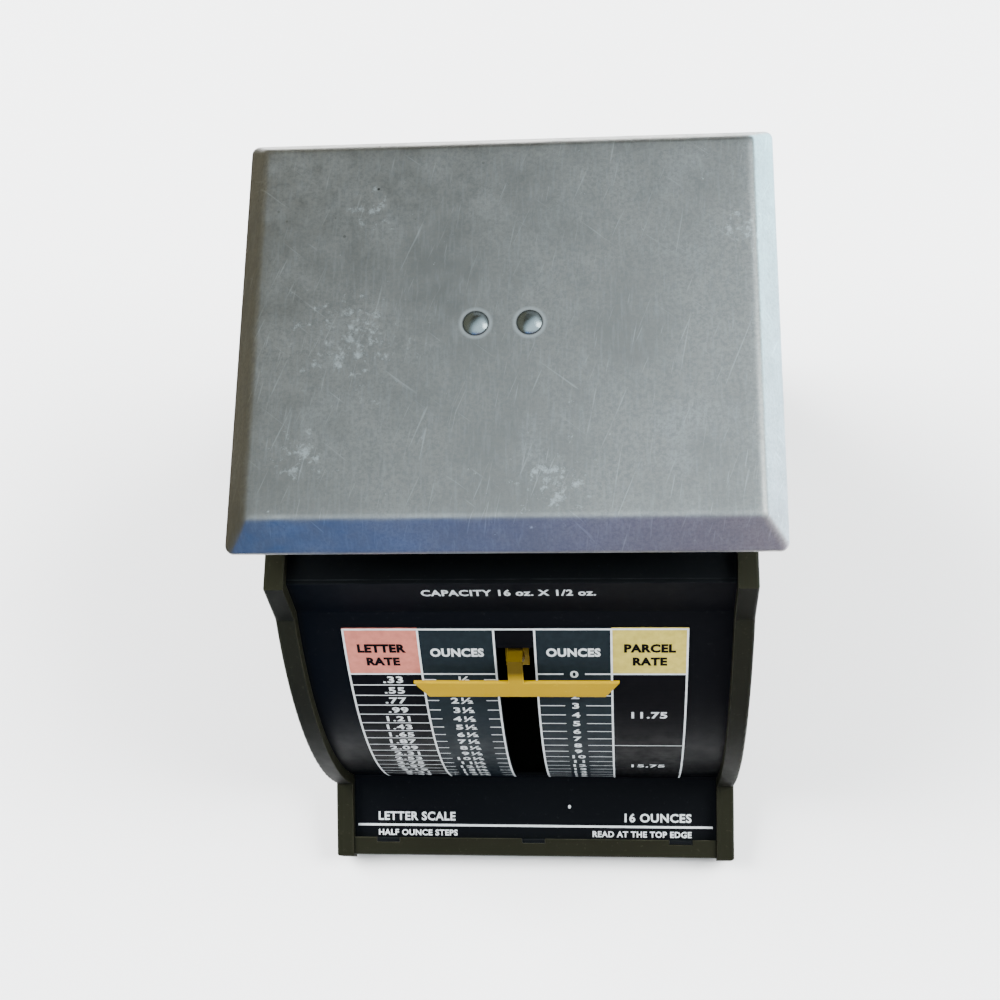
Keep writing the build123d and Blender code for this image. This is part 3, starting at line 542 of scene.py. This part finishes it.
def rate_rows(dial):
    """Rows, ticks and numbers of the four columns."""
    numeral = 2.05 * MM
    second_middle = (EDGES[1] + EDGES[2]) / 2
    third_middle = (EDGES[3] + EDGES[4]) / 2
    fourth_middle = (EDGES[4] + EDGES[5]) / 2
    tick = 2.8 * MM
    long_tick = 5.7 * MM
    row_line(dial, EDGES[0], EDGES[2], ounce(0), LINE)
    row_line(dial, EDGES[4], EDGES[5], ounce(0), LINE)
    row_line(dial, EDGES[4], EDGES[5], ounce(CAPACITY_OUNCES // 2), THIN)
    for weight in range(CAPACITY_OUNCES):
        middle = ounce(weight + 0.5)
        if weight:
            row_line(dial, EDGES[0], EDGES[1], ounce(weight), THIN)
        rate = money(FIRST_RATE_CENTS + RATE_STEP_CENTS * weight)
        dial.text(rate, "white", EDGES[1] - 4.4 * MM, middle, numeral, align="right", scale=PER_METRE)
        row_line(dial, EDGES[1], EDGES[1] + tick, middle, THIN)
        row_line(dial, EDGES[2] - tick, EDGES[2], middle, THIN)
        if weight:
            dial.text(str(weight), "white", second_middle - 0.9 * MM, middle, numeral,
                      align="right", scale=PER_METRE)
        dial.text("\u00bd", "white", second_middle - 0.5 * MM, middle, numeral, 2.7 * MM,
                  align="left", scale=PER_METRE)
    for weight in range(CAPACITY_OUNCES + 1):
        thickness = LINE if weight == 0 else THIN
        row_line(dial, EDGES[3], EDGES[3] + long_tick, ounce(weight), thickness)
        row_line(dial, EDGES[4] - long_tick, EDGES[4], ounce(weight), thickness)
        dial.text(str(weight), "white", third_middle, ounce(weight), numeral, scale=PER_METRE)
    for rate, row in (("11.75", 4), ("15.75", 12)):
        dial.text(rate, "white", fourth_middle, ounce(row), 2.4 * MM, 7.8 * MM, scale=PER_METRE)


def rate_headers(dial):
    """Column headings: one line over the ounces, two lines over the rates."""
    centre = (ZERO_ANGLE + HEADER_TOP) / 2
    cap = 2.25 * MM
    line_gap = 1.9 * MM * PER_METRE
    upper = centre + line_gap - 0.4
    lower = centre - line_gap - 0.4
    first = (EDGES[0] + EDGES[1]) / 2
    last = (EDGES[4] + EDGES[5]) / 2
    for x in ((EDGES[1] + EDGES[2]) / 2, (EDGES[3] + EDGES[4]) / 2):
        dial.text("OUNCES", "white", x, centre, cap, 11.4 * MM, scale=PER_METRE, bold=0.04)
    for x, words, width in ((first, "LETTER", 10.4 * MM), (last, "PARCEL", 10.8 * MM)):
        dial.text(words, "black", x, upper, cap, width, scale=PER_METRE, bold=0.055)
        dial.text("RATE", "black", x, lower, cap, 7.2 * MM, scale=PER_METRE, bold=0.055)


dial_print = Print(on_dial)
rate_columns(dial_print)
rate_rows(dial_print)
rate_headers(dial_print)
printed_dial = dial_print.build("printed_dial")
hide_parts("rate_chart")
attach(printed_dial, "root")


# ---------------------------------------------------------------- lettering on the case

PANEL_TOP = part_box("dial_panel")[1].z
STEEP_RISE, STEEP_RUN = 0.9488, 0.3158
STEEP_ANGLE = atan2(STEEP_RISE, STEEP_RUN)
FOLD = Vector((0, -20.07 * MM, PANEL_TOP))
FOOT_SLOPE = radians(17)
FOOT_CREASE = Vector((0, -50.73 * MM, 11.17 * MM))
RULE_AT = -12.6 * MM
RULE_HALF_LENGTH = 44.4 * MM
RULE_HALF_THICKNESS = 0.26 * MM
TEXT_EDGE = 39.2 * MM
UPPER_LINE, UPPER_CAP = RULE_AT + 2.3 * MM, 2.1 * MM
LOWER_LINE, LOWER_CAP = RULE_AT - 1.85 * MM, 1.45 * MM


def on_steep_strip(x, down, lift):
    """Point on the strip between the roof and the dial: down is negative below the fold."""
    return FOLD + Vector((
        x,
        down * cos(STEEP_ANGLE) - lift * sin(STEEP_ANGLE),
        down * sin(STEEP_ANGLE) + lift * cos(STEEP_ANGLE),
    ))


def on_foot(x, back, lift):
    """Point on the sloping foot: back is negative in front of the crease under the dial."""
    return FOOT_CREASE + Vector((
        x,
        back * cos(FOOT_SLOPE) - lift * sin(FOOT_SLOPE),
        back * sin(FOOT_SLOPE) + lift * cos(FOOT_SLOPE),
    ))


capacity_print = Print(on_steep_strip)
capacity_print.text("CAPACITY 16 oz. X 1/2 oz.", "white", -0.4 * MM, -3.6 * MM, 2.3 * MM, 35.5 * MM)
foot_print = Print(on_foot)
foot_print.area("white", -RULE_HALF_LENGTH, RULE_HALF_LENGTH, RULE_AT - RULE_HALF_THICKNESS,
                RULE_AT + RULE_HALF_THICKNESS, LINE_LIFT)
foot_print.text(".", "white", 9.0 * MM, -7.6 * MM, 0.75 * MM, 0.75 * MM)
for words, end, along, cap, width, align in (
    ("LETTER SCALE", -TEXT_EDGE, UPPER_LINE, UPPER_CAP, 19.5 * MM, "left"),
    ("16 OUNCES", TEXT_EDGE, UPPER_LINE, UPPER_CAP, 16.5 * MM, "right"),
    ("HALF OUNCE STEPS", -TEXT_EDGE, LOWER_LINE, LOWER_CAP, 20.0 * MM, "left"),
    ("READ AT THE TOP EDGE", TEXT_EDGE, LOWER_LINE, LOWER_CAP, 24.5 * MM, "right"),
):
    foot_print.text(words, "white", end, along, cap, width, align=align)
for name, lettering in (("capacity_lettering", capacity_print), ("foot_lettering", foot_print)):
    piece = lettering.build(name)
    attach(piece, "root")


# ---------------------------------------------------------------- platform

PAN_LOW, PAN_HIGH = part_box("platform")
BEVEL_RUN = 4.85 * MM
BEVEL_RISE = 7.2 * MM
PAN_SHEET = 1.0 * MM


def rounded_ring(middle, half_x, half_y, radius, z, corner_steps=8, side_steps=10):
    """Points of a rounded rectangle, anticlockwise seen from above."""
    radius = max(radius, 0.05 * MM)
    points = []
    corners = ((1, 1, 0), (-1, 1, 90), (-1, -1, 180), (1, -1, 270))
    arcs = []
    for sign_x, sign_y, start in corners:
        centre_x = middle.x + sign_x * (half_x - radius)
        centre_y = middle.y + sign_y * (half_y - radius)
        centre = Vector((centre_x, centre_y, z))
        arcs.append([
            centre + Vector((cos(radians(start + 90 * k / corner_steps)),
                             sin(radians(start + 90 * k / corner_steps)), 0)) * radius
            for k in range(corner_steps + 1)
        ])
    for k, arc in enumerate(arcs):
        points += arc
        following = arcs[(k + 1) % 4][0]
        points += [arc[-1].lerp(following, step / side_steps) for step in range(1, side_steps)]
    return points


def pan_profile():
    """Cross-section of the pressed tray from the middle of its top to the middle of its underside.

    Each entry is (distance in from the rim, height below the top, corner radius)."""
    slope = atan2(BEVEL_RISE, BEVEL_RUN)
    bend = 2.2 * MM
    tangent = bend * (1 - cos(slope)) / sin(slope)
    drop = PAN_HIGH.z - PAN_LOW.z
    profile = [(30 * MM, 0, 1 * MM), (15 * MM, 0, 2 * MM), (BEVEL_RUN + 3 * MM, 0, 1.2 * MM)]
    for k in range(7):
        turn = slope * k / 6
        inward = BEVEL_RUN + tangent - bend * sin(turn)
        profile.append((inward, bend * (1 - cos(turn)), 1.3 * MM))
    bend_in, bend_drop, _ = profile[-1]
    for k in range(1, 4):
        share = k / 4
        profile.append((bend_in * (1 - share), bend_drop + (BEVEL_RISE - bend_drop) * share, 1.6 * MM))
    profile += [
        (0.22 * MM, BEVEL_RISE - 0.35 * MM, 1.7 * MM),
        (0.05 * MM, BEVEL_RISE, 1.7 * MM),
        (0, BEVEL_RISE + 0.3 * MM, 1.7 * MM),
        (0, drop - 0.25 * MM, 1.7 * MM),
        (0.1 * MM, drop - 0.05 * MM, 1.65 * MM),
        (0.3 * MM, drop, 1.5 * MM),
        (0.7 * MM, drop, 1.3 * MM),
        (0.9 * MM, drop - 0.05 * MM, 1.2 * MM),
        (1.0 * MM, drop - 0.25 * MM, 1.1 * MM),
        (1.0 * MM, BEVEL_RISE, 1.1 * MM),
        (BEVEL_RUN * 0.55 + 1.0 * MM, BEVEL_RISE - (BEVEL_RISE - PAN_SHEET) * 0.55, 1.0 * MM),
        (BEVEL_RUN + 0.95 * MM, PAN_SHEET + 0.1 * MM, 1.2 * MM),
        (BEVEL_RUN + 1.6 * MM, PAN_SHEET, 1.2 * MM),
        (15 * MM, PAN_SHEET, 1 * MM),
        (30 * MM, PAN_SHEET, 1 * MM),
    ]
    return profile


def build_platform():
    """Tray lofted through rounded rectangles, closed top and bottom."""
    middle = (PAN_LOW + PAN_HIGH) / 2
    half_x = (PAN_HIGH.x - PAN_LOW.x) / 2
    half_y = (PAN_HIGH.y - PAN_LOW.y) / 2
    vertices = []
    rings = []
    for inward, below, radius in pan_profile():
        ring = rounded_ring(middle, half_x - inward, half_y - inward, radius, PAN_HIGH.z - below)
        rings.append(range(len(vertices), len(vertices) + len(ring)))
        vertices += ring
    faces = [tuple(rings[0]), tuple(reversed(rings[-1]))]
    for upper, lower in zip(rings, rings[1:]):
        count = len(upper)
        for k in range(count):
            after = (k + 1) % count
            faces.append((upper[k], lower[k], lower[after], upper[after]))
    piece = mesh_object("platform_tray", vertices, faces, [PLATFORM])
    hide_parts("platform")
    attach(piece, "platform_group")


build_platform()


# ---------------------------------------------------------------- spring

SPRING_LOW, SPRING_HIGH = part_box("extension_spring")


def tube(name, path, radius, material, sides=8):
    """Round wire along a list of points, with capped ends."""
    vertices = []
    faces = []
    side = Vector((1, 0, 0))
    for k, point in enumerate(path):
        ahead = path[min(k + 1, len(path) - 1)] - path[max(k - 1, 0)]
        ahead.normalize()
        side = (side - ahead * side.dot(ahead)).normalized()
        up = ahead.cross(side)
        for s in range(sides):
            turn = 2 * pi * s / sides
            vertices.append(point + (side * cos(turn) + up * sin(turn)) * radius)
    for k in range(len(path) - 1):
        for s in range(sides):
            after = (s + 1) % sides
            here, there = k * sides, (k + 1) * sides
            faces.append((here + s, here + after, there + after, there + s))
    faces.append(tuple(reversed(range(sides))))
    faces.append(tuple(range(len(vertices) - sides, len(vertices))))
    return mesh_object(name, vertices, faces, [material])


def flattened(value):
    """Sine or cosine pushed outwards, so that a hook's loop has a flat top and bottom."""
    return copysign(abs(value) ** 0.45, value)


def build_spring():
    """Close-wound spring with a full hook at each end, stretched between the hanger and the lever."""
    wire = 0.36 * MM
    hook = 2.6 * MM
    coil = 3.2 * MM
    end_gap = 0.4 * MM
    per_turn = 18
    lead_in = 9
    middle_y = (SPRING_LOW.y + SPRING_HIGH.y) / 2
    low_hook = Vector((0, middle_y, SPRING_LOW.z + end_gap + hook))
    high_hook = Vector((0, middle_y, SPRING_HIGH.z - end_gap - hook))
    coil_low = low_hook.z + hook + 4.0 * MM
    coil_high = high_hook.z - hook - end_gap
    turns = int((coil_high - coil_low) / (0.86 * MM))
    count = turns * per_turn
    path = []
    for angle in range(-300, 1, 15):
        around = radians(angle)
        path.append(low_hook + Vector((-sin(around) * hook, 0, cos(around) * hook)))
    path.append(low_hook + Vector((0, 0, hook + 1.6 * MM)))
    for k in range(count + 1):
        turn = 2 * pi * k / per_turn
        grow = min(1.0, k / lead_in, (count - k) / lead_in)
        height = coil_low + (coil_high - coil_low) * k / count
        path.append(Vector((coil * grow * sin(turn), middle_y + coil * grow * cos(turn), height)))
    for angle in range(0, 301, 12):
        around = radians(angle)
        path.append(high_hook + Vector((flattened(sin(around)), 0, -flattened(cos(around)))) * hook)
    piece = tube("wound_spring", path, wire, STEEL)
    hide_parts("extension_spring")
    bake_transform(piece)


build_spring()


# ---------------------------------------------------------------- stage

FLOOR_COLOR = (0.93, 0.935, 0.94)
JUST_ABOVE_FLOOR = 0.002


def lying(left, right, front, back, height):
    """Corners of a level rectangle."""
    return [(left, front, height), (right, front, height), (right, back, height), (left, back, height)]


def build_floor():
    floor = mesh_object("floor", lying(-4, 4, -4, 4, 0), [(0, 1, 2, 3)], [])
    card = Shader("pale_card", FLOOR_COLOR, 0.85, specular=0.1)
    shade = card.remap(card.noise(6, 2), 0.3, 0.7)
    card.color(card.mix(shade, FLOOR_COLOR, (0.915, 0.92, 0.925)))
    floor.data.materials.append(card.material)


def reflected_card(name, corners, dark, bright, axis, low, high, turn=0.0):
    """A card seen only in reflections, grading from dark to bright along one axis of its own."""
    card = mesh_object(name, corners, [(0, 1, 2, 3)], [])
    glow = Shader(name, (0, 0, 0), 1.0, specular=0.0)
    graded = glow.mix(glow.remap(glow.position(axis), low, high), dark, bright)
    glow.links.new(graded, glow.bsdf.inputs["Emission Color"])
    glow.bsdf.inputs["Emission Strength"].default_value = 1.0
    card.data.materials.append(glow.material)
    card.rotation_euler.z = radians(turn)
    card.visible_camera = False
    card.visible_diffuse = False
    card.visible_shadow = False


def area_light(name, place, target, size, power, color, glossy=True):
    """Rectangular light aimed at a point, left out of reflections unless glossy."""
    light = bpy.data.lights.new(name, "AREA")
    light.shape = "RECTANGLE"
    light.size, light.size_y = size
    light.energy = power
    light.color = color
    lamp = bpy.data.objects.new(name, light)
    lamp.location = place
    lamp.rotation_euler = (Vector(target) - Vector(place)).to_track_quat("-Z", "Y").to_euler()
    lamp.visible_glossy = glossy
    bpy.context.scene.collection.objects.link(lamp)


def build_light():
    """Soft light from both sides, and cards that give the metal something to reflect."""
    world = bpy.data.worlds.new("studio")
    world.use_nodes = True
    background = world.node_tree.nodes["Background"]
    background.inputs["Color"].default_value = (0.94, 0.97, 1.0, 1)
    background.inputs["Strength"].default_value = 0.5
    bpy.context.scene.world = world
    area_light("wash_left", (-0.9, 0.35, 0.95), (0, 0.05, 0), (0.9, 0.9), 76, (1.0, 1.0, 1.0), False)
    area_light("wash_right", (0.95, 0.3, 0.9), (0, 0.05, 0), (0.9, 0.9), 62, (1.0, 1.0, 1.0), False)
    area_light("edge_right", (0.7, 0.05, 0.5), (0, 0.02, 0.1), (0.35, 0.6), 5, (0.90, 0.98, 1.0))
    reflected_card("card_overhead", lying(-1.8, 1.8, -1.8, 1.8, 1.0),
                   (0.12, 0.108, 0.082), (1.80, 2.15, 2.40), "X", -0.52, 0.10, -40)
    left_corners = [(-0.13, -0.4, 0), (-0.13, 0.6, 0), (-0.13, 0.6, 0.3), (-0.13, -0.4, 0.3)]
    reflected_card("card_left", left_corners,
                   (0.20, 0.18, 0.115), (0.36, 0.35, 0.28), "Z", 0.0, 0.2)
    reflected_card("card_before", lying(-0.6, 0.6, -0.9, -0.086, JUST_ABOVE_FLOOR),
                   (0.02, 0.11, 0.32), (0.22, 0.19, 0.24), "X", -0.11, 0.07)
    reflected_card("card_right", lying(0.13, 0.9, -0.4, 0.6, JUST_ABOVE_FLOOR),
                   (5.0, 4.9, 6.2), (5.2, 9.5, 11.5), "Y", -0.05, 0.22)
    front_corners = [(-0.5, -0.2, 0), (0.5, -0.2, 0), (0.5, -0.2, 0.35), (-0.5, -0.2, 0.35)]
    reflected_card("card_front", front_corners,
                   (0.04, 0.33, 1.15), (0.66, 0.58, 0.76), "X", -0.11, 0.07)


CAMERA_PLACE = (0.022685, -0.081917, 0.371365)
CAMERA_TURN = (15.979, 4.853, 0.832)
CAMERA_LENS_MM = 51.14
CAMERA_SENSOR_MM = 36


def build_camera():
    """The viewpoint: high in front, a little to the right, looking steeply down."""
    camera_data = bpy.data.cameras.new("camera")
    camera_data.lens = CAMERA_LENS_MM
    camera_data.sensor_width = CAMERA_SENSOR_MM
    camera = bpy.data.objects.new("camera", camera_data)
    camera.location = CAMERA_PLACE
    camera.rotation_euler = [radians(turn) for turn in CAMERA_TURN]
    bpy.context.scene.collection.objects.link(camera)
    bpy.context.scene.camera = camera


build_floor()
build_light()
build_camera()
